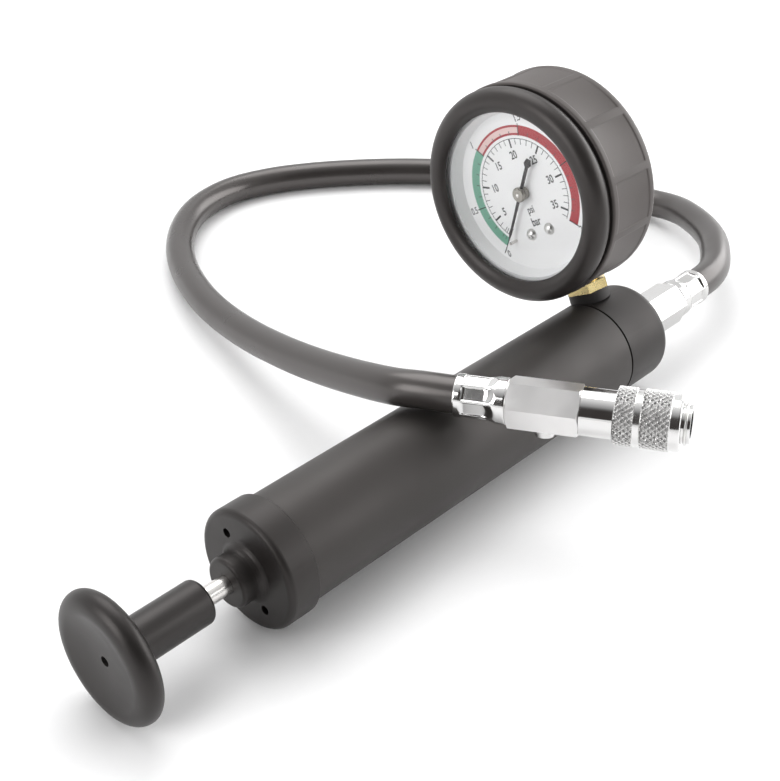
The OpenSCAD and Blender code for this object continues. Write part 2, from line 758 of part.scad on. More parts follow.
module needle_hub() color(steel) at_gauge() spin() union() {
    polygon([[arbor_r + eps, needle_x - eps], [hub_d / 2, needle_x - eps],
        [hub_d / 2, needle_x - hub_t + edge], [hub_d / 2 - edge, needle_x - hub_t],
        [arbor_r + eps, needle_x - hub_t]]);
    band(needle_x + needle_t + eps, boss_end, arbor_r + eps, boss_r);
}

module hose_nipple() color(chrome) lay() difference() {
    union() {
        bar(port_x, neck_x + over, port_d / 2);
        bar(neck_x + eps, nipple_x + over, stem_neck_r);
        hex_bar(nipple_x, rear_ferrule_x, hex_af, hex_turn);
        bar(rear_ferrule_x - over, rear_end - ferrule_rim_l, barb_d / 2);
    }
    bar(port_x - over, rear_end, bore_d / 2);
}

// Crimped ferrule from the hose at x = 0 to its collar
module ferrule() difference() {
    spin() difference() {
        polygon([[0, 0], [ferrule_d / 2, 0], [ferrule_d / 2, ferrule_rim_l],
            [ferrule_waist_r, ferrule_rim_l + edge], [ferrule_waist_r, ferrule_waist_end],
            [ferrule_collar_d / 2, ferrule_waist_end + ferrule_flare],
            [ferrule_collar_d / 2, ferrule_l - edge], [ferrule_collar_d / 2 - edge, ferrule_l],
            [0, ferrule_l]]);
        band(ferrule_rim_l - fit, ferrule_l + over, 0, barb_d / 2 + fit);
    }
    for (k = [0 : flute_n - 1]) rotate([360 * k / flute_n, 0, 0])
        translate([0, 0, ferrule_waist_r + flute_r - flute_depth])
        bar(ferrule_rim_l + flute_end, ferrule_waist_end - flute_end, flute_r);
}

module rear_ferrule() color(chrome) lay() translate([rear_end, 0, 0]) mirror([1, 0, 0]) ferrule();

module hose() color(rubber) lay()
    sweep(hose_points, hose_od / 2, hose_sides, [1, 0, 0], coupler_dir, [0, 0, 1]);

module front_ferrule() color(chrome) at_coupler() ferrule();

module coupler_tail() color(chrome) at_coupler() difference() {
    union() {
        bar(ferrule_rim_l, tail_x + over, barb_d / 2);
        hex_bar(tail_x, body_x, hex_af, hex_turn);
    }
    bar(0, body_x + over, bore_d / 2);
}

module vent_plug() color(chrome) at_coupler() translate([plug_x, 0, 0]) rotate([plug_turn, 0, 0])
    translate([0, 0, hex_af / 2 + eps]) cylinder(h = plug_h, d1 = plug_d, d2 = plug_end_d);

module coupler_body() color(chrome) at_coupler() difference() {
    spin() difference() {
        union() {
            band(body_x + eps, shoulder_x, 0, body_d / 2);
            band(shoulder_x - over, core_end, 0, core_d / 2);
        }
        band(body_x - over, core_end, 0, bore_d / 2);
        band(mouth_x, core_end + over, 0, mouth_d / 2);
        band(mouth_x - oring_d, core_end, 0, seal_pocket_d / 2);
        band(snap_x - snap_wire / 2 - fit, snap_x + snap_wire / 2 + fit, core_d / 2 - snap_wire / 2, core_d);
    }
    for (k = [0 : lock_n - 1]) rotate([360 * k / lock_n, 0, 0]) translate([lock_x, 0, 0])
        cylinder(h = core_d, d = lock_d + 2 * fit);
}

module coupler_seal() color(rubber) at_coupler() difference() {
    bar(mouth_x - oring_d + eps, mouth_x - fit, seal_pocket_d / 2 - eps);
    bar(mouth_x - oring_d - over, mouth_x + over, bore_d / 2);
}

module lock_balls() color(steel) at_coupler() for (k = [0 : lock_n - 1]) rotate([360 * k / lock_n, 0, 0])
    translate([lock_x, 0, lock_r]) sphere(d = lock_d);

module sleeve() color(chrome) at_coupler() spin() difference() {
    union() {
        band(sleeve_x, sleeve_end - sleeve_edge, 0, sleeve_d / 2);
        polygon([[0, sleeve_end - over], [sleeve_d / 2, sleeve_end - over],
            [sleeve_d / 2 - sleeve_edge, sleeve_end], [0, sleeve_end]]);
    }
    band(sleeve_x - over, guide_x, 0, body_d / 2 + body_run);
    band(guide_x - over, sleeve_end + over, 0, core_d / 2 + core_run);
}

module sleeve_spring() color(steel) at_coupler()
    coil(shoulder_x + fit, guide_x - fit, spring_r, spring_wire, 4);

module snap_ring() color(steel) at_coupler() translate([snap_x, 0, 0]) rotate([0, 90, 0])
    rotate([0, 0, snap_gap / 2]) rotate_extrude(angle = 360 - snap_gap)
    translate([core_d / 2 + fit / 2, 0]) circle(d = snap_wire);

tube();
front_cap();
rod_bush();
head();
head_oring();
check_ball();
check_spring();
handle();
handle_screw();
rod();
piston();
cup_seal();
rod_washer();
rod_nut();
stem_seal();
gauge_stem();
gauge_case();
gauge_boot();
bezel_ring();
lens();
dial_flange();
dial();
dial_screws();
bourdon_tube();
tip_link();
movement_frame();
sector_gear();
pinion();
stop_pin();
needle();
needle_hub();
hose_nipple();
rear_ferrule();
hose();
front_ferrule();
coupler_tail();
vent_plug();
coupler_body();
coupler_seal();
lock_balls();
sleeve();
sleeve_spring();
snap_ring();
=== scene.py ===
"""Pressure test pump: looks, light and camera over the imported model."""
import math
import bmesh
import bpy
from mathutils import Matrix, Vector


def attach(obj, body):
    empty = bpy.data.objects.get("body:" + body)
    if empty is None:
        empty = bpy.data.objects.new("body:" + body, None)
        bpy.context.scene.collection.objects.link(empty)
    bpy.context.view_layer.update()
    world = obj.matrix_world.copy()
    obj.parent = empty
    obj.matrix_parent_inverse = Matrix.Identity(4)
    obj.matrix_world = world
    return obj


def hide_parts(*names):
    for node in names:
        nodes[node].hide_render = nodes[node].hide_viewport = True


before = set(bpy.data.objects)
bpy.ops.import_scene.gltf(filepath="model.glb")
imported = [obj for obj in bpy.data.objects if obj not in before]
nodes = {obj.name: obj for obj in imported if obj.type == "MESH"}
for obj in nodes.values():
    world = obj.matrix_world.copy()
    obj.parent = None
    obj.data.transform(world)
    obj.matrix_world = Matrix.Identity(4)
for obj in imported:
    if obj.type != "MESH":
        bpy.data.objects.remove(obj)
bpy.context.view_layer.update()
MM = 0.001

# Places shared with the part's source, in millimetres from the barrel axis at the tube's end
MID_X = -74.0
MID_Y = 22.112475
GROUND = 20.5
GAUGE_LEAN = 25.0
GAUGE_H = 63.0
DIAL_X = -9.2
DIAL_TURN = -8.0
COUPLER_AT = (-82.4, -8.0, 25.2)
COUPLER_YAW = -64.0
COUPLER_PITCH = 3.0
REAR_END = 66.5


def place(p):
    """Point from the barrel axis, in millimetres, into the part's frame."""
    return Vector(((p[0] - MID_X) * MM, (p[1] - MID_Y) * MM, (p[2] + GROUND) * MM))


SHIFT = Matrix.Translation((-MID_X * MM, -MID_Y * MM, GROUND * MM))
SCALE = Matrix.Diagonal((MM, MM, MM, 1))
BARREL = SHIFT @ SCALE
GAUGE = (SHIFT @ Matrix.Rotation(math.radians(-GAUGE_LEAN), 4, "X")
         @ Matrix.Translation((DIAL_X * MM, 0, GAUGE_H * MM)) @ SCALE)
COUPLER = (Matrix.Translation(place(COUPLER_AT)) @ Matrix.Rotation(math.radians(COUPLER_YAW), 4, "Z")
           @ Matrix.Rotation(math.radians(-COUPLER_PITCH), 4, "Y") @ SCALE)


# Camera at the photograph's viewing angle
CAM_AT = (-352.74, -236.61, 260.72)
CAM_AZ = math.radians(-46.45)
CAM_EL = math.radians(33.5)
CAM_F = 1380.0
IMAGE_W = 780.0
SENSOR_W = 36.0
cam_data = bpy.data.cameras.new("camera")
cam_data.sensor_fit = "HORIZONTAL"
cam_data.sensor_width = SENSOR_W
cam_data.lens = CAM_F / IMAGE_W * SENSOR_W
cam_data.clip_start = 0.01
cam = bpy.data.objects.new("camera", cam_data)
bpy.context.scene.collection.objects.link(cam)
cam_back = Vector((math.sin(CAM_AZ) * math.cos(CAM_EL), -math.cos(CAM_AZ) * math.cos(CAM_EL),
                   math.sin(CAM_EL)))
cam_right = Vector((math.cos(CAM_AZ), math.sin(CAM_AZ), 0.0))
cam_up = cam_back.cross(cam_right)
cam_turn = Matrix((cam_right, cam_up, cam_back)).transposed().to_4x4()
cam.matrix_world = Matrix.Translation(place(CAM_AT)) @ cam_turn
bpy.context.scene.camera = cam


# Material helpers
def new_material(name):
    """Empty node material with its principled shader."""
    mat = bpy.data.materials.new(name)
    mat.use_nodes = True
    tree = mat.node_tree
    shader = tree.nodes["Principled BSDF"]
    return mat, tree, shader


def node(tree, kind, **values):
    """New shader node with its named settings."""
    n = tree.nodes.new(kind)
    for key, value in values.items():
        setattr(n, key, value)
    return n


def noise(tree, coords, scale, detail=3.0, rough=0.5):
    """Noise over the object's own coordinates in metres."""
    n = node(tree, "ShaderNodeTexNoise")
    n.inputs["Scale"].default_value = scale
    n.inputs["Detail"].default_value = detail
    n.inputs["Roughness"].default_value = rough
    tree.links.new(coords, n.inputs["Vector"])
    return n.outputs["Fac"]


def remap(tree, value, low, high, start=0.3, end=0.7):
    """Spread a value between two numbers."""
    m = node(tree, "ShaderNodeMapRange")
    m.inputs["From Min"].default_value = start
    m.inputs["From Max"].default_value = end
    m.inputs["To Min"].default_value = low
    m.inputs["To Max"].default_value = high
    tree.links.new(value, m.inputs["Value"])
    return m.outputs["Result"]


def bump(tree, height, strength, distance):
    """Bump from a height value."""
    b = node(tree, "ShaderNodeBump")
    b.inputs["Strength"].default_value = strength
    b.inputs["Distance"].default_value = distance
    tree.links.new(height, b.inputs["Height"])
    return b.outputs["Normal"]


def mix_colour(tree, fac, low, high):
    """Colour between two, by a value."""
    m = node(tree, "ShaderNodeMix", data_type="RGBA")
    m.inputs["A"].default_value = (*low, 1)
    m.inputs["B"].default_value = (*high, 1)
    tree.links.new(fac, m.inputs["Factor"])
    return m.outputs["Result"]


def tint(colour, factor):
    """Colour made darker or paler by a factor."""
    return tuple(c * factor for c in colour)


# Paler colour mixed onto sharp edges: a painted highlight.
EDGE_HIGHLIGHT = (0.12, 0.112, 0.106)
HIGHLIGHT_FROM, HIGHLIGHT_TO = 0.52, 0.62
WARM_SHEEN = (1.0, 0.94, 0.92, 1)
PLASTIC_CLOUD, PLASTIC_GRAIN = 45.0, 0.35
SHEEN_LESS, SHEEN_MORE = 0.05, 0.06
METAL_CLOUD, METAL_MARKS, METAL_GRAIN = 110.0, 900.0, 0.25
SMOOTHEST = 0.02
INK_SPECK, INK_SHADE = 2500.0, 0.88


def moulded(name, colour, rough, grain, grain_h, edge_highlight=0.0, spread=0.2, gloss=0.5):
    """Moulded plastic or rubber: fine grain, cloudy sheen, and a painted highlight of paler colour on sharp
    edges.
    """
    mat, tree, shader = new_material(name)
    coords = node(tree, "ShaderNodeTexCoord").outputs["Object"]
    cloud = noise(tree, coords, PLASTIC_CLOUD, 4.0)
    fine = noise(tree, coords, grain, 2.0)
    base = mix_colour(tree, cloud, tint(colour, 1 - spread), tint(colour, 1 + spread))
    # Sharp edges are mixed towards a paler colour: a painted highlight along them.
    if edge_highlight > 0:
        edge = node(tree, "ShaderNodeNewGeometry").outputs["Pointiness"]
        m = node(tree, "ShaderNodeMix", data_type="RGBA")
        tree.links.new(remap(tree, edge, 0.0, edge_highlight, HIGHLIGHT_FROM, HIGHLIGHT_TO), m.inputs["Factor"])
        tree.links.new(base, m.inputs["A"])
        m.inputs["B"].default_value = (*EDGE_HIGHLIGHT, 1)
        base = m.outputs["Result"]
    tree.links.new(base, shader.inputs["Base Color"])
    tree.links.new(remap(tree, cloud, rough - SHEEN_LESS, rough + SHEEN_MORE), shader.inputs["Roughness"])
    tree.links.new(bump(tree, fine, PLASTIC_GRAIN, grain_h), shader.inputs["Normal"])
    shader.inputs["Specular IOR Level"].default_value = gloss
    shader.inputs["Specular Tint"].default_value = WARM_SHEEN
    return mat


def metal(name, colour, rough, marks_h, spread=0.06, blotch=0.05, stretch=(1, 1, 1)):
    """Plated or drawn metal with faint cloudiness and fine marks along one direction."""
    mat, tree, shader = new_material(name)
    coords = node(tree, "ShaderNodeTexCoord").outputs["Object"]
    cloud = noise(tree, coords, METAL_CLOUD, 4.0)
    tree.links.new(mix_colour(tree, cloud, tint(colour, 1 - spread), tint(colour, 1 + spread)),
                   shader.inputs["Base Color"])
    shader.inputs["Metallic"].default_value = 1.0
    tree.links.new(remap(tree, cloud, max(rough - blotch, SMOOTHEST), rough + blotch),
                   shader.inputs["Roughness"])
    mapping = node(tree, "ShaderNodeMapping")
    mapping.inputs["Scale"].default_value = stretch
    tree.links.new(coords, mapping.inputs["Vector"])
    marks = noise(tree, mapping.outputs["Vector"], METAL_MARKS, 2.0)
    tree.links.new(bump(tree, marks, METAL_GRAIN, marks_h), shader.inputs["Normal"])
    return mat


def printed(name, colour, rough=0.45):
    """Printed ink with slight unevenness."""
    mat, tree, shader = new_material(name)
    coords = node(tree, "ShaderNodeTexCoord").outputs["Object"]
    speck = noise(tree, coords, INK_SPECK, 2.0)
    tree.links.new(mix_colour(tree, speck, tint(colour, INK_SHADE), colour), shader.inputs["Base Color"])
    shader.inputs["Roughness"].default_value = rough
    return mat


def window(name):
    """Clear window that lets the dial show, with a faint reflection and a trace of haze."""
    mat, tree, shader = new_material(name)
    coords = node(tree, "ShaderNodeTexCoord").outputs["Object"]
    shader.inputs["Base Color"].default_value = (0.985, 0.99, 0.99, 1)
    tree.links.new(remap(tree, noise(tree, coords, 60.0), 0.0, 0.03), shader.inputs["Roughness"])
    shader.inputs["IOR"].default_value = 1.02
    shader.inputs["Transmission Weight"].default_value = 1.0
    shader.inputs["Coat Weight"].default_value = 1.0
    shader.inputs["Alpha"].default_value = 0.25
    return mat


# Materials
barrel_plastic = moulded("barrel_plastic", (0.013, 0.0112, 0.0105), 0.44, 2600.0, 0.00003, 0.2, gloss=0.42)
handle_plastic = moulded("handle_plastic", (0.009, 0.0078, 0.0073), 0.40, 2200.0, 0.00004, 0.2)
boot_rubber = moulded("boot_rubber", (0.072, 0.0635, 0.0605), 0.50, 1800.0, 0.00003, 0.12)
lip_rubber = moulded("lip_rubber", (0.021, 0.0184, 0.0175), 0.40, 1800.0, 0.00002)
hose_rubber = moulded("hose_rubber", (0.026, 0.0230, 0.0217), 0.30, 1500.0, 0.000015, gloss=0.9)
seal_rubber = moulded("seal_rubber", (0.016, 0.016, 0.016), 0.6, 2000.0, 0.00002)
dark_trim = moulded("dark_trim", (0.036, 0.036, 0.037), 0.40, 2500.0, 0.00001)
chrome = metal("chrome_plate", (0.74, 0.735, 0.73), 0.09, 0.000003)
satin_chrome = metal("satin_chrome", (0.84, 0.83, 0.825), 0.32, 0.0000015, 0.06, 0.03, (0.2, 0.2, 1))
rear_chrome = metal("rear_chrome", (0.58, 0.575, 0.57), 0.12, 0.000002, 0.06)
rear_satin = metal("rear_satin", (0.66, 0.655, 0.65), 0.25, 0.0000015, 0.06, 0.03, (1, 0.2, 0.2))
sleeve_chrome = metal("sleeve_chrome", (0.74, 0.735, 0.73), 0.16, 0.000003)
# Darker chrome for faces deep in the knurl: painted shade in its valleys.
knurl_valley_shade = metal("knurl_valley_shade", (0.42, 0.415, 0.41), 0.30, 0.000003, 0.12)
brass = metal("turned_brass", (1.0, 0.81, 0.40), 0.24, 0.000003, 0.03)
steel = metal("ground_steel", (0.74, 0.72, 0.70), 0.24, 0.00001, 0.08, 0.05, (0.05, 1, 1))
nickel = metal("nickel_plate", (0.34, 0.325, 0.295), 0.30, 0.000003, 0.12)
case_steel = metal("case_steel", (0.15, 0.145, 0.14), 0.42, 0.00001, 0.08)
zinc = metal("zinc_plate", (0.70, 0.695, 0.68), 0.28, 0.000003, 0.08)
dial_paint = moulded("dial_paint", (0.89, 0.895, 0.90), 0.45, 3000.0, 0.000002, spread=0.015)
# The sloped ring round the dial is painted a touch darker and bluer than the dial: slight painted shade.
shaded_flange_paint = moulded("shaded_flange_paint", (0.86, 0.865, 0.87), 0.45, 3000.0, 0.000002, spread=0.02)
ink_black = printed("ink_black", (0.03, 0.03, 0.032))
ink_grey = printed("ink_grey", (0.09, 0.09, 0.095))
ink_green = printed("ink_green", (0.19, 0.43, 0.32))
ink_red = printed("ink_red", (0.43, 0.05, 0.06))
ink_pink = printed("ink_pink", (0.84, 0.63, 0.61))
window_glass = window("window_glass")

LOOKS = {
    barrel_plastic: ("tube", "front_cap", "head", "piston"),
    handle_plastic: ("handle",),
    boot_rubber: ("gauge_boot",),
    hose_rubber: ("hose",),
    seal_rubber: ("head_oring", "cup_seal", "stem_seal", "coupler_seal"),
    dark_trim: ("needle", "bezel_ring"),
    chrome: ("front_ferrule", "vent_plug", "coupler_body"),
    satin_chrome: ("coupler_tail",),
    rear_chrome: ("rear_ferrule",),
    rear_satin: ("hose_nipple",),
    sleeve_chrome: ("sleeve",),
    brass: ("gauge_stem", "bourdon_tube", "movement_frame", "sector_gear"),
    steel: ("rod", "rod_bush", "check_ball", "stop_pin", "check_spring", "handle_screw", "rod_washer",
            "rod_nut", "tip_link", "pinion", "lock_balls", "sleeve_spring"),
    nickel: ("needle_hub",),
    case_steel: ("gauge_case",),
    zinc: ("snap_ring", "dial_screws"),
    dial_paint: ("dial",),
    shaded_flange_paint: ("dial_flange",),
    window_glass: ("lens",),
}
for mat, names in LOOKS.items():
    for name in names:
        nodes[name].data.materials.clear()
        nodes[name].data.materials.append(mat)


# Mesh helpers
SHARP = math.radians(35)


def new_piece(name, verts, faces, mat, smooth=True):
    """Closed mesh object from points and faces, with its faces turned outwards."""
    mesh = bpy.data.meshes.new(name)
    mesh.from_pydata([tuple(v) for v in verts], [], faces)
    work = bmesh.new()
    work.from_mesh(mesh)
    bmesh.ops.recalc_face_normals(work, faces=work.faces)
    work.to_mesh(mesh)
    work.free()
    obj = bpy.data.objects.new(name, mesh)
    bpy.context.scene.collection.objects.link(obj)
    mesh.materials.append(mat)
    if smooth:
        mesh.polygons.foreach_set("use_smooth", [True] * len(mesh.polygons))
        mesh.set_sharp_from_angle(angle=SHARP)
    return obj


def ease(t):
    """Smooth step from 0 to 1."""
    t = min(1.0, max(0.0, t))
    return t * t * (3 - 2 * t)


def even(count):
    """Equal angles round a circle."""
    return [2 * math.pi * k / count for k in range(count)]


def fan(count, steps, turn):
    """Angles round a circle in equal shares, each with the same steps in degrees beside its middle."""
    share = 360.0 / count
    offsets = [-s for s in reversed(steps) if s] + list(steps) + [share / 2]
    return [math.radians(k * share + turn + s) for k in range(count) for s in offsets]


def arc(x, r, size, start, end, steps):
    """Stations along part of a circle, with 0 degrees towards -x and 90 degrees outwards."""
    out = []
    for i in range(steps + 1):
        a = math.radians(start + (end - start) * i / steps)
        out.append((x - size * math.cos(a), r + size * math.sin(a)))
    return out


def spun(name, outside, inside, angles, frame_of, mat, dent=None, smooth=True):
    """Closed profile of length and radius carried round X, with dents pressed into its outside."""
    verts = []
    faces = []
    for x, r in outside:
        for a in angles:
            rr = r - dent(x, a) if dent else r
            verts.append(frame_of @ Vector((x, rr * math.cos(a), rr * math.sin(a))))
    for x, r in inside:
        for a in angles:
            verts.append(frame_of @ Vector((x, r * math.cos(a), r * math.sin(a))))
    rings = len(outside) + len(inside)
    around = len(angles)
    for j in range(rings):
        below = (j + 1) % rings * around
        for i in range(around):
            k = (i + 1) % around
            faces.append((j * around + i, j * around + k, below + k, below + i))
    return new_piece(name, verts, faces, mat, smooth)


def tube_mesh(name, path, radius, sides, mat):
    """Round tube along a list of points, closed by flat ends."""
    verts = []
    faces = []
    side = path[1] - path[0]
    side = side.cross(Vector((0, 0, 1))).normalized()
    for i, p in enumerate(path):
        t = (path[min(i + 1, len(path) - 1)] - path[max(i - 1, 0)]).normalized()
        side = (side - t * side.dot(t)).normalized()
        rise = side.cross(t)
        for a in even(sides):
            verts.append(p + radius * (math.cos(a) * side + math.sin(a) * rise))
    for i in range(len(path) - 1):
        for k in range(sides):
            a = i * sides + k
            b = i * sides + (k + 1) % sides
            faces.append((a, b, b + sides, a + sides))
    last = (len(path) - 1) * sides
    faces.append(tuple(reversed(range(sides))))
    faces.append(tuple(last + k for k in range(sides)))
    return new_piece(name, verts, faces, mat)


def smooth_path(points, first, last, step):
    """Smooth curve through points with set end directions, as points about one step apart."""
    n = len(points)
    tangents = [first.normalized() * (points[1] - points[0]).length]
    tangents += [(points[i + 1] - points[i - 1]) / 2 for i in range(1, n - 1)]
    tangents.append(last.normalized() * (points[-1] - points[-2]).length)
    out = [points[0].copy()]
    for i in range(n - 1):
        a, b = points[i], points[i + 1]
        count = max(2, int((b - a).length / step))
        for k in range(1, count + 1):
            t = k / count
            h00 = 2 * t ** 3 - 3 * t ** 2 + 1
            h10 = t ** 3 - 2 * t ** 2 + t
            h01 = -2 * t ** 3 + 3 * t ** 2
            h11 = t ** 3 - t ** 2
            out.append(h00 * a + h10 * tangents[i] + h01 * b + h11 * tangents[i + 1])
    return out


def stands_for(piece, body, cad_node):
    """Lets a piece ride on a body in place of a CAD node."""
    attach(piece, body)
    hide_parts(cad_node)


# The hose, over the floor and up to the coupler
HOSE_ROUTE = [
    (REAR_END, 0, 0), (85, 3, -1), (104.5, 14.5, -2.5), (119, 27.5, -5), (131, 43, -8), (138.5, 56, -11),
    (141, 70, -13.5), (137.5, 95, -14.4), (128, 120, -14.4), (114.5, 144, -14.4), (100, 164, -14.4),
    (87, 178.5, -14.4), (72, 192, -14.4), (56, 204, -14.4), (38.5, 213.5, -14.4), (19, 218.5, -14.4),
    (-1, 215.5, -14.4), (-18, 206, -14.4), (-33.3, 191, -14.4), (-46.2, 171.4, -13.6), (-56.9, 148.5, -11.6),
    (-63.5, 129.9, -9.3), (-68.7, 112.1, -6.3), (-72.9, 95.7, -2.9), (-76.5, 80.1, 0.9), (-79.5, 66.4, 4.6),
    (-82.2, 53.4, 8.5), (-84.5, 41.6, 12.3), (-86.6, 30.1, 16.2), (-88.4, 18.5, 20.2), (-88.9, 9.5, 23.1),
    (-86.7, 2, 24.5), COUPLER_AT,
]
HOSE_D = 12 * MM
HOSE_STEP = 3 * MM
HOSE_SIDES = 32
coupler_dir = (COUPLER.to_3x3() @ Vector((1, 0, 0))).normalized()
hose_line = smooth_path([place(p) for p in HOSE_ROUTE], Vector((1, 0, 0)), coupler_dir, HOSE_STEP)
hose = tube_mesh("hose_tube", hose_line, HOSE_D / 2, HOSE_SIDES, hose_rubber)
stands_for(hose, "pump", "hose")


# Dial print: thin closed layers on the dial's face, told by radius and clockwise angle from the top
LAYER = 0.03
LAYER_GAP = 0.005
ARC_STEP = 2.0


def dial_point(r, clock, lift):
    """Point over the dial's face at a radius and a clockwise angle from the top of the gauge."""
    a = math.radians(clock)
    return GAUGE @ Vector((-lift, -r * math.sin(a), r * math.cos(a)))


SCALE_STEP = 7.76
TOP_PSI = 20
ZERO_CLOCK = -140.0
FIRST_PSI = 3


def clock_psi(p):
    """Clockwise angle of a pressure in psi, with the short first step of the scale."""
    if p < FIRST_PSI:
        first = SCALE_STEP * (FIRST_PSI - TOP_PSI)
        return ZERO_CLOCK + (first - ZERO_CLOCK) * p / FIRST_PSI
    return SCALE_STEP * (p - TOP_PSI)


PSI_PER_BAR = 14.504


def clock_bar(p):
    """Clockwise angle of a pressure in bar."""
    return clock_psi(p * PSI_PER_BAR)


def ring_part(r0, r1, a0, a1):
    """Outline of a ring's part: along its inner edge and back along its outer edge."""
    steps = max(2, int(abs(a1 - a0) / ARC_STEP))
    clocks = [a0 + (a1 - a0) * i / steps for i in range(steps + 1)]
    return [(r0, a) for a in clocks] + [(r1, a) for a in reversed(clocks)]


def mark(r0, r1, clock, width):
    """Outline of a straight mark along a radius."""
    corners = ((r0, -1), (r0, 1), (r1, 1), (r1, -1))
    return [(r, clock + side * math.degrees(width / 2 / r)) for r, side in corners]


def on_dial(piece):
    """Lets a printed piece ride with the gauge."""
    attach(piece, "pump")


def print_layer(name, outlines, mat, level=0):
    """Printed piece of outlines given the thickness of a layer, over a number of other layers."""
    low = LAYER_GAP + level * (LAYER + LAYER_GAP)
    verts = []
    faces = []
    for outline in outlines:
        n = len(outline)
        base = len(verts)
        for lift in (low, low + LAYER):
            verts += [dial_point(r, a, lift) for r, a in outline]
        faces.append(tuple(range(base, base + n)))
        faces.append(tuple(range(base + n, base + 2 * n)))
        for i in range(n):
            k = (i + 1) % n
            faces.append((base + i, base + k, base + n + k, base + n + i))
    on_dial(new_piece(name, verts, faces, mat, False))


LETTER_SQUEEZE, LETTER_WEIGHT = 0.74, 0.014
WELD = 0.001 * MM


def print_words(name, words, r, clock, size, mat):
    """Words printed upright on the dial, centred at a radius and angle."""
    curve = bpy.data.curves.new(name, "FONT")
    curve.body = words
    curve.align_x = "CENTER"
    curve.align_y = "CENTER"
    curve.size = size
    curve.offset = LETTER_WEIGHT * size
    curve.extrude = LAYER / 2
    curve.fill_mode = "BOTH"
    maker = bpy.data.objects.new(name, curve)
    bpy.context.scene.collection.objects.link(maker)
    bpy.context.view_layer.update()
    mesh = bpy.data.meshes.new_from_object(maker)
    bpy.data.objects.remove(maker)
    a = math.radians(clock)
    turn = math.radians(DIAL_TURN)
    for vert in mesh.vertices:
        x, y, z = vert.co.x * LETTER_SQUEEZE, vert.co.y, vert.co.z
        across = r * math.sin(a) + x * math.cos(turn) + y * math.sin(turn)
        up = r * math.cos(a) - x * math.sin(turn) + y * math.cos(turn)
        vert.co = GAUGE @ Vector((-LAYER_GAP - LAYER / 2 - z, -across, up))
    work = bmesh.new()
    work.from_mesh(mesh)
    bmesh.ops.remove_doubles(work, verts=work.verts, dist=WELD)
    bmesh.ops.recalc_face_normals(work, faces=work.faces)
    work.to_mesh(mesh)
    work.free()
    mesh.materials.clear()
    mesh.materials.append(mat)
    piece = bpy.data.objects.new(name, mesh)
    bpy.context.scene.collection.objects.link(piece)
    on_dial(piece)


BAND_IN, BAND_OUT, BAND_EDGE = 20.0, 23.5, 0.75
GREEN_END, PINK_END, BAR_END = 1, 1.5, 2.5
BAR_FINE_IN, BAR_FINE_OUT, BAR_FINE_W = BAND_IN + 0.1, BAND_IN + 1.4, 0.26
BAR_MAIN_IN, BAR_MAIN_OUT, BAR_MAIN_W = BAND_IN - 0.1, BAND_OUT + 0.6, 0.34
TICK_R, LAST_PSI = 18.7, 36
LINE_IN, LINE_OUT = TICK_R + 0.02, TICK_R + 0.24
PSI_FINE_L, PSI_FINE_W = 1.9, 0.24
PSI_MAIN_L, PSI_MAIN_W = 3.0, 0.64
ZERO_IN, ZERO_OUT, ZERO_W = BAND_OUT + 0.7, BAND_OUT + 3.3, 0.4
PSI_NUMBER_R, PSI_NUMBER_H = 13.1, 4.0
BAR_NUMBER_R, BAR_NUMBER_H, ZERO_BESIDE = 26.0, 3.5, 4
PSI_WORD_R, PSI_WORD_CLOCK, PSI_WORD_H = 6.4, 175.6, 3.8
BAR_WORD_R, BAR_WORD_CLOCK, BAR_WORD_H = 10.9, 172.8, 4.2


def band(low, high, r0=BAND_IN, r1=BAND_OUT):
    """Outline of a coloured band between two pressures in bar."""
    return ring_part(r0, r1, clock_bar(low), clock_bar(high))


print_layer("band_green", [band(0, GREEN_END)], ink_green)
print_layer("band_pink", [band(GREEN_END, PINK_END)], ink_pink)
print_layer("band_red", [band(PINK_END, BAR_END)], ink_red)
print_layer("band_red_edges", [
    band(GREEN_END, PINK_END, BAND_IN, BAND_IN + BAND_EDGE),
    band(GREEN_END, PINK_END, BAND_OUT - BAND_EDGE, BAND_OUT),
], ink_red, 1)
print_layer("bar_fine_marks", [mark(BAR_FINE_IN, BAR_FINE_OUT, clock_bar(i / 10), BAR_FINE_W)
                               for i in range(1, 25) if i % 5], ink_grey, 2)
print_layer("bar_main_marks", [mark(BAR_MAIN_IN, BAR_MAIN_OUT, clock_bar(i / 2), BAR_MAIN_W)
                               for i in range(6)], ink_black, 2)
print_layer("psi_line", [ring_part(LINE_IN, LINE_OUT, clock_psi(0), clock_bar(BAR_END))], ink_grey)
print_layer("psi_fine_marks", [mark(TICK_R - PSI_FINE_L, TICK_R, clock_psi(i), PSI_FINE_W)
                               for i in range(LAST_PSI + 1) if i % 5], ink_grey)
print_layer("psi_main_marks", [mark(TICK_R - PSI_MAIN_L, TICK_R, clock_psi(i), PSI_MAIN_W)
                               for i in range(0, LAST_PSI, 5)], ink_black)
print_layer("zero_mark", [mark(ZERO_IN, ZERO_OUT, clock_psi(0), ZERO_W)], ink_black)
for p in range(5, LAST_PSI, 5):
    print_words("psi_number_%d" % p, str(p), PSI_NUMBER_R, clock_psi(p), PSI_NUMBER_H, ink_black)
for i, words in enumerate(("0", "0.5", "1", "1.5", "2", "2.5")):
    clock = clock_bar(i / 2) - (0 if i else ZERO_BESIDE)
    print_words("bar_number_%d" % (5 * i), words, BAR_NUMBER_R, clock, BAR_NUMBER_H, ink_grey)
print_words("word_psi", "psi", PSI_WORD_R, PSI_WORD_CLOCK, PSI_WORD_H, ink_grey)
print_words("word_bar", "bar", BAR_WORD_R, BAR_WORD_CLOCK, BAR_WORD_H, ink_black)


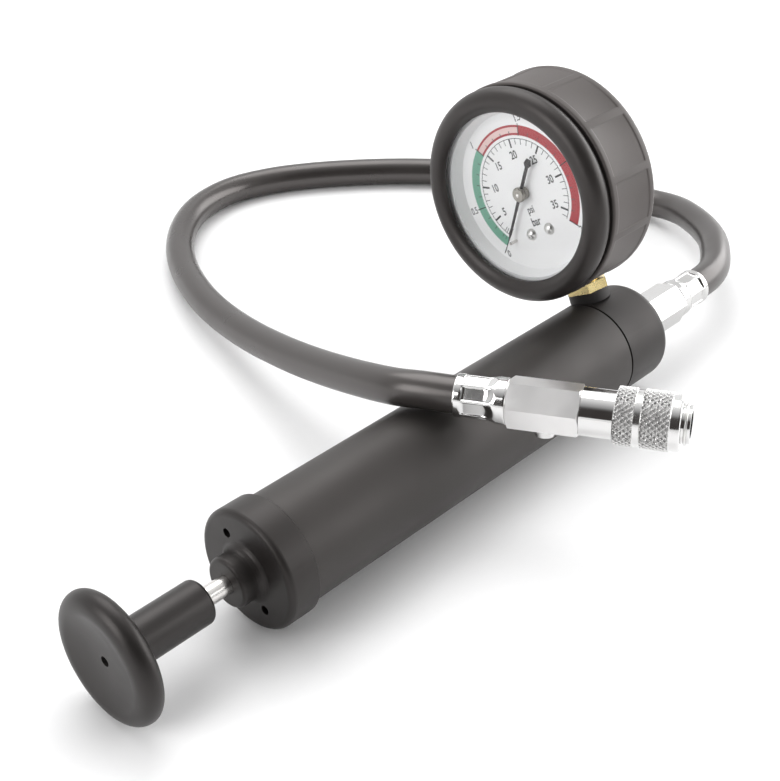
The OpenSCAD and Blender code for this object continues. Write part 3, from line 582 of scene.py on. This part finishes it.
# The handle: dished face, rounded rim, and a hollow foot that runs into the shank
SHANK_END, ROD_HEAD = -180.0, -207.5
RIM_X, RIM_R, RIM_W, RIM_FRONT, RIM_BACK = -211.0, 16.0, 4.5, 4.2, 3.5
SHANK_R, SHANK_ROUND = 7.0, 1.5
HOLE_R, ROD_R = 1.6, 3.05
RIM_START, RIM_END, RIM_STEPS, DISH_STEPS = -16, 205, 32, 20
WEB_BACK, FOOT_W, FOOT_H, FOOT_STEPS = -208.9, 4.0, 4.5, 8
SHANK_STEPS, HANDLE_AROUND = 8, 128
rim = []
for i in range(RIM_STEPS + 1):
    a = math.radians(RIM_START + (RIM_END - RIM_START) * i / RIM_STEPS)
    half = RIM_FRONT if math.cos(a) > 0 else RIM_BACK
    rim.append((RIM_X - half * math.cos(a), RIM_R + RIM_W * math.sin(a)))
edge_x, edge_r = rim[0]
edge_slope = RIM_FRONT / RIM_W * math.tan(math.radians(-RIM_START))
outside = []
for i in range(DISH_STEPS):
    r = HOLE_R + (edge_r - HOLE_R) * i / DISH_STEPS
    outside.append((edge_x + edge_slope / (2 * edge_r) * (edge_r ** 2 - r ** 2), r))
outside += rim
for i in range(FOOT_STEPS + 1):
    a = math.pi / 2 * i / FOOT_STEPS
    outside.append((WEB_BACK + FOOT_H * (1 - math.cos(a)), SHANK_R + FOOT_W * (1 - math.sin(a))))
outside += arc(SHANK_END - SHANK_ROUND, SHANK_R - SHANK_ROUND, SHANK_ROUND, 90, 180, SHANK_STEPS)
inside = [(SHANK_END, ROD_R), (ROD_HEAD, ROD_R), (ROD_HEAD, HOLE_R)]
handle = spun("round_handle", outside, inside, even(HANDLE_AROUND), BARREL, handle_plastic)
stands_for(handle, "plunger", "handle")


# The boot: round lip, crease, and a side with shallow panels between ribs
BOOT_R, CASE_R, WINDOW_R, REAR_HOLE_R = 38.1, 33.1, 29.8, 26.0
LIP_X, LIP_R, LIP_HALF = -4.6, 33.4, 4.4
SEAT_X, BODY_FRONT, CASE_BACK, BOOT_REAR = -6.9, -0.9, 20.6, 23.0
CREASE_R, FRONT_ROUND, REAR_ROUND = 36.5, 0.8, 2.5
RIBS, RIB_TURN = 12, 92.0
RIB_HALF, RIB_EDGE = 1.7, 0.8
PANEL_DEEP, PANEL_EDGE = 0.28, 0.8
PANEL_FRONT, PANEL_REAR = BODY_FRONT + 2.2, BOOT_REAR - 3.6
RIB_STEPS = (0, 1.1, 1.7, 1.9, 2.1, 2.3, 2.5, 3.2, 5, 8, 11.5)
PANEL_STEPS, LIP_STEPS, FRONT_STEPS, REAR_STEPS = 4, 40, 5, 10


def panel_dent(x, a):
    """Depth of the boot's panels, which run between the ribs."""
    share = 360.0 / RIBS
    off = abs((math.degrees(a) - RIB_TURN + share / 2) % share - share / 2)
    along = ease((x - PANEL_FRONT) / PANEL_EDGE) * ease((PANEL_REAR - x) / PANEL_EDGE)
    return PANEL_DEEP * along * ease((off - RIB_HALF) / RIB_EDGE)


lip_start = math.degrees(math.asin((WINDOW_R - LIP_R) / LIP_HALF))
lip_end = 180 - math.degrees(math.asin((CREASE_R - LIP_R) / LIP_HALF))
outside = arc(LIP_X, LIP_R, LIP_HALF, lip_start, lip_end, LIP_STEPS)
outside.append((BODY_FRONT, CREASE_R))
outside += arc(BODY_FRONT + FRONT_ROUND, BOOT_R - FRONT_ROUND, FRONT_ROUND, 0, 90, FRONT_STEPS)
for i in range(PANEL_STEPS + 1):
    outside.append((PANEL_FRONT + PANEL_EDGE * i / PANEL_STEPS, BOOT_R))
for i in range(PANEL_STEPS, -1, -1):
    outside.append((PANEL_REAR - PANEL_EDGE * i / PANEL_STEPS, BOOT_R))
outside += arc(BOOT_REAR - REAR_ROUND, BOOT_R - REAR_ROUND, REAR_ROUND, 90, 180, REAR_STEPS)
inside = [(BOOT_REAR, REAR_HOLE_R), (CASE_BACK, REAR_HOLE_R), (CASE_BACK, CASE_R), (SEAT_X, CASE_R),
          (SEAT_X, WINDOW_R)]
boot = spun("rubber_boot", outside, inside, fan(RIBS, RIB_STEPS, RIB_TURN), GAUGE, boot_rubber, panel_dent)
boot.data.materials.append(lip_rubber)
boot_front = GAUGE.inverted() @ boot.matrix_world
for face in boot.data.polygons:
    if (boot_front @ face.center).x < BODY_FRONT:
        face.material_index = 1
stands_for(boot, "pump", "gauge_boot")


# The ferrules: a plain rim at the hose, pressed flutes, and a bell that swells to the collar
FERRULE_L, FERRULE_R, BELL_R, BARB_R = 16.5, 6.8, 7.3, 3.1
EDGE_ROUND, EDGE_STEPS = 0.4, 4
HOSE_SEAT, HOSE_BORE_R = 3.1, 0.5
FLUTES, FLUTE_DEEP = 8, 0.75
FRONT_TURN, REAR_TURN = 95.0, 90.0
FLUTE_HALF, FLUTE_SIDE = 17.5, 3.0
FLUTE_FRONT, FLUTE_FRONT_EASE, FLUTE_REAR, FLUTE_REAR_EASE = 2.4, 0.7, 13.4, 2.8
FLUTE_END = 2.4
BELL_FRONT, BELL_REAR = 9.6, 13.6
FLUTE_STEPS = (0, 3, 6, 9, 12, 14.5, 16.5, 17.5, 18.2, 19, 19.8, 20.5, 21.3)
FERRULE_STEPS = 44


def flute_dent(x, off):
    """Depth of a flat flute with a round rear end, at degrees beside its middle."""
    wide = FLUTE_HALF + FLUTE_SIDE
    rear = FLUTE_REAR - FLUTE_END * (1 - math.sqrt(max(0.0, 1 - (off / wide) ** 2)))
    along = ease((x - FLUTE_FRONT) / FLUTE_FRONT_EASE) * ease((rear - x) / FLUTE_REAR_EASE)
    deep = FERRULE_R - (FERRULE_R - FLUTE_DEEP) / math.cos(math.radians(off))
    return deep * along * (1 - ease((off - FLUTE_HALF) / FLUTE_SIDE))


def ferrule(name, frame_of, cad_node, turn, mat):
    """One crimped ferrule, from the hose at x = 0 to its collar."""
    share = 360.0 / FLUTES

    def dent(x, a):
        return flute_dent(x, abs((math.degrees(a) - turn + share / 2) % share - share / 2))

    body_l = FERRULE_L - 2 * EDGE_ROUND
    side = arc(EDGE_ROUND, FERRULE_R - EDGE_ROUND, EDGE_ROUND, 0, 90, EDGE_STEPS)
    for i in range(1, FERRULE_STEPS):
        x = EDGE_ROUND + body_l * i / FERRULE_STEPS
        side.append((x, FERRULE_R + (BELL_R - FERRULE_R) * ease((x - BELL_FRONT) / (BELL_REAR - BELL_FRONT))))
    side += arc(FERRULE_L - EDGE_ROUND, BELL_R - EDGE_ROUND, EDGE_ROUND, 90, 180, EDGE_STEPS)
    hollow = [(FERRULE_L, BARB_R), (HOSE_SEAT, BARB_R), (HOSE_SEAT, HOSE_BORE_R), (0, HOSE_BORE_R)]
    piece = spun(name, side, hollow, fan(FLUTES, FLUTE_STEPS, turn), frame_of, mat, dent)
    stands_for(piece, "pump", cad_node)
    return piece


REAR = BARREL @ Matrix.Translation((REAR_END, 0, 0)) @ Matrix.Rotation(math.pi, 4, "Z")
ferrule("crimped_ferrule_rear", REAR, "rear_ferrule", REAR_TURN, rear_chrome)
front_ferrule = ferrule("crimped_ferrule_front", COUPLER, "front_ferrule", FRONT_TURN, chrome)


# The coupler's sleeve, with diamonds pressed into two bands and painted shade in their deepest valleys
HEX_L, BODY_L, SLEEVE_L = 22.5, 10.1, 19.6
SLEEVE_X = FERRULE_L + HEX_L + BODY_L
SLEEVE_R, BAND_DROP, NOSE_DROP = 9.0, 0.5, 1.0
GUIDE_X, GUIDE_R, BODY_R = 13.6, 6.0, 7.66
KNURLS = ((0.45, 5.75), (8.15, 16.35))
KNURL_N, KNURL_PITCH, KNURL_DEEP = 30, 2.0, 0.5
KNURL_STEP, KNURL_AROUND = 0.12, 360
KNURL_FLOOR, KNURL_POWER, SHADE_DEPTH = 0.25, 1.5, 0.3
REAR_BEVEL, REAR_DROP, REAR_EDGE = 0.3, 0.45, 0.1
STEP_FAR, STEP_NEAR, STEP_DROP = 0.3, 0.12, 0.3
NOSE_FAR, NOSE_NEAR, NOSE_EDGE = 0.7, 0.25, 0.65


def knurl_dent(x, a):
    """Depth of the diamond knurl on the sleeve's two bands."""
    x -= SLEEVE_X
    if not any(start <= x <= end for start, end in KNURLS):
        return 0.0
    across = a / (2 * math.pi) * KNURL_N
    along = x / KNURL_PITCH
    one = abs((across + along) % 1.0 - 0.5) * 2
    two = abs((across - along) % 1.0 - 0.5) * 2
    high = max(0.0, max(one, two) - KNURL_FLOOR) / (1 - KNURL_FLOOR)
    return KNURL_DEEP * (1 - high ** KNURL_POWER)


def sleeve_side():
    """Stations of the sleeve's outside, along its length."""
    out = [(0.0, SLEEVE_R - REAR_DROP), (REAR_BEVEL, SLEEVE_R - REAR_EDGE)]
    for start, end in KNURLS:
        count = int((end - start) / KNURL_STEP)
        if start > KNURLS[0][0]:
            out += [(start - STEP_FAR, SLEEVE_R - BAND_DROP), (start - STEP_NEAR, SLEEVE_R - STEP_DROP)]
        out += [(start + (end - start) * k / count, SLEEVE_R) for k in range(count + 1)]
        out += [(end + STEP_NEAR, SLEEVE_R - STEP_DROP), (end + STEP_FAR, SLEEVE_R - BAND_DROP)]
    out += [(SLEEVE_L - NOSE_FAR, SLEEVE_R - BAND_DROP), (SLEEVE_L - NOSE_NEAR, SLEEVE_R - NOSE_EDGE),
            (SLEEVE_L, SLEEVE_R - NOSE_DROP)]
    return [(SLEEVE_X + x, r) for x, r in out]


outside = sleeve_side()
bore = ((SLEEVE_L, GUIDE_R), (GUIDE_X, GUIDE_R), (GUIDE_X, BODY_R), (0, BODY_R))
inside = [(SLEEVE_X + x, r) for x, r in bore]
angles = even(KNURL_AROUND)
sleeve = spun("knurled_sleeve", outside, inside, angles, COUPLER, sleeve_chrome, knurl_dent, False)
sleeve.data.materials.append(knurl_valley_shade)
# Faces sunk deeper than the shade depth take the darker chrome: painted shade in the knurl's valleys.
for face in sleeve.data.polygons:
    ring, step = divmod(min(face.vertices), KNURL_AROUND)
    if ring < len(outside) and knurl_dent(outside[ring][0], angles[step]) > SHADE_DEPTH:
        face.material_index = 1
stands_for(sleeve, "sleeve", "sleeve")


# Floor: a wide shallow bowl of pale paper
FLOOR_CLEAR, FLOOR_WHITE = 0.6, 1.2
PAPER_DIM, PAPER_PALE = (0.93, 0.93, 0.935), (0.95, 0.95, 0.95)
PAPER_SPECK, PAPER_ROUGH = 300.0, 0.6


def floor_paper():
    """Pale paper with a faint speck, plain white where it is far from the object."""
    mat, tree, shader = new_material("floor_paper")
    coords = node(tree, "ShaderNodeTexCoord").outputs["Object"]
    speck = noise(tree, coords, PAPER_SPECK, 2.0)
    tree.links.new(mix_colour(tree, speck, PAPER_DIM, PAPER_PALE), shader.inputs["Base Color"])
    shader.inputs["Roughness"].default_value = PAPER_ROUGH
    far = node(tree, "ShaderNodeVectorMath", operation="LENGTH")
    tree.links.new(coords, far.inputs[0])
    fade = remap(tree, far.outputs["Value"], 0.0, 1.0, FLOOR_CLEAR, FLOOR_WHITE)
    path = node(tree, "ShaderNodeLightPath")
    seen = path.outputs["Is Camera Ray"]
    for ray in ("Is Glossy Ray", "Is Transmission Ray"):
        either = node(tree, "ShaderNodeMath", operation="MAXIMUM")
        tree.links.new(seen, either.inputs[0])
        tree.links.new(path.outputs[ray], either.inputs[1])
        seen = either.outputs["Value"]
    share = node(tree, "ShaderNodeMath", operation="MULTIPLY")
    tree.links.new(fade, share.inputs[0])
    tree.links.new(seen, share.inputs[1])
    both = node(tree, "ShaderNodeMixShader")
    tree.links.new(share.outputs["Value"], both.inputs[0])
    tree.links.new(shader.outputs["BSDF"], both.inputs[1])
    tree.links.new(node(tree, "ShaderNodeEmission").outputs["Emission"], both.inputs[2])
    tree.links.new(both.outputs["Shader"], tree.nodes["Material Output"].inputs["Surface"])
    return mat


FLOOR_RINGS = ((1.2, 0.0), (2.4, 0.0), (3.6, 0.02), (4.6, 0.08), (5.6, 0.2), (6.4, 0.38), (7.0, 0.6))
FLOOR_SIDES = 96
floor_verts = []
for r, z in FLOOR_RINGS:
    for a in even(FLOOR_SIDES):
        floor_verts.append((r * math.cos(a), r * math.sin(a), z))
floor_faces = [tuple(range(FLOOR_SIDES))]
for j in range(len(FLOOR_RINGS) - 1):
    for k in range(FLOOR_SIDES):
        a = j * FLOOR_SIDES + k
        b = j * FLOOR_SIDES + (k + 1) % FLOOR_SIDES
        floor_faces.append((a, a + FLOOR_SIDES, b + FLOOR_SIDES, b))
floor_mesh = bpy.data.meshes.new("floor")
floor_mesh.from_pydata(floor_verts, [], floor_faces)
floor_mesh.materials.append(floor_paper())
floor_mesh.polygons.foreach_set("use_smooth", [True] * len(floor_faces))
floor = bpy.data.objects.new("floor", floor_mesh)
bpy.context.scene.collection.objects.link(floor)


# World: bright behind the object, dimmer in front, with a dark room behind the photographer
BRIGHT_TOWARDS = (0.70, 0.66, 0.27)
BRIGHT_EDGE, BRIGHT_FULL = -0.45, 0.6
BRIGHT_SHADE = (1.0, 1.0, 1.0)
FRONT_SHADE = (0.24, 0.24, 0.24)
DARK_TOWARDS = (-0.656, -0.624, 0.423)
DARK_EDGE, DARK_FULL = 0.74, 0.88
ROOM_SHADE = (0.05, 0.045, 0.043)
WORLD_LIGHT = 1.05
world = bpy.data.worlds.new("studio")
bpy.context.scene.world = world
world.use_nodes = True
w_tree = world.node_tree
w_dir = node(w_tree, "ShaderNodeTexCoord").outputs["Generated"]


def facing(towards, edge, full):
    """Value that rises from 0 to 1 as a direction nears the one given."""
    dot = node(w_tree, "ShaderNodeVectorMath", operation="DOT_PRODUCT")
    w_tree.links.new(w_dir, dot.inputs[0])
    dot.inputs[1].default_value = towards
    fade = node(w_tree, "ShaderNodeMapRange", interpolation_type="SMOOTHSTEP")
    fade.inputs["From Min"].default_value = edge
    fade.inputs["From Max"].default_value = full
    w_tree.links.new(dot.outputs["Value"], fade.inputs["Value"])
    return fade.outputs["Result"]


w_sky = mix_colour(w_tree, facing(BRIGHT_TOWARDS, BRIGHT_EDGE, BRIGHT_FULL), FRONT_SHADE, BRIGHT_SHADE)
w_room = node(w_tree, "ShaderNodeMix", data_type="RGBA")
w_tree.links.new(facing(DARK_TOWARDS, DARK_EDGE, DARK_FULL), w_room.inputs["Factor"])
w_tree.links.new(w_sky, w_room.inputs["A"])
w_room.inputs["B"].default_value = (*ROOM_SHADE, 1)
w_back = w_tree.nodes["Background"]
w_tree.links.new(w_room.outputs["Result"], w_back.inputs["Color"])
w_back.inputs["Strength"].default_value = WORLD_LIGHT


# Lamps
def area_light(name, at, aim, wide, high, power):
    """Soft lamp of a width and height aimed at a point."""
    data = bpy.data.lights.new(name, "AREA")
    data.shape = "RECTANGLE"
    data.size = wide
    data.size_y = high
    data.energy = power
    obj = bpy.data.objects.new(name, data)
    bpy.context.scene.collection.objects.link(obj)
    obj.location = at
    obj.rotation_euler = (Vector(aim) - Vector(at)).to_track_quat("-Z", "Y").to_euler()


# Each lamp's name, place, aim, width, height and power
LAMPS = (
    ("back_lamp", (0.3, 0.62, 1.15), (0, 0.05, 0.03), 1.0, 1.0, 8.5),
    ("right_lamp", (0.87, -0.40, 0.38), (0.05, 0.0, 0.03), 1.5, 0.6, 9.0),
    ("left_lamp", (-0.9, 0.15, 0.5), (0, 0.02, 0.05), 0.6, 0.6, 4.8),
)
for lamp in LAMPS:
    area_light(*lamp)

bpy.context.scene.view_settings.view_transform = "Standard"
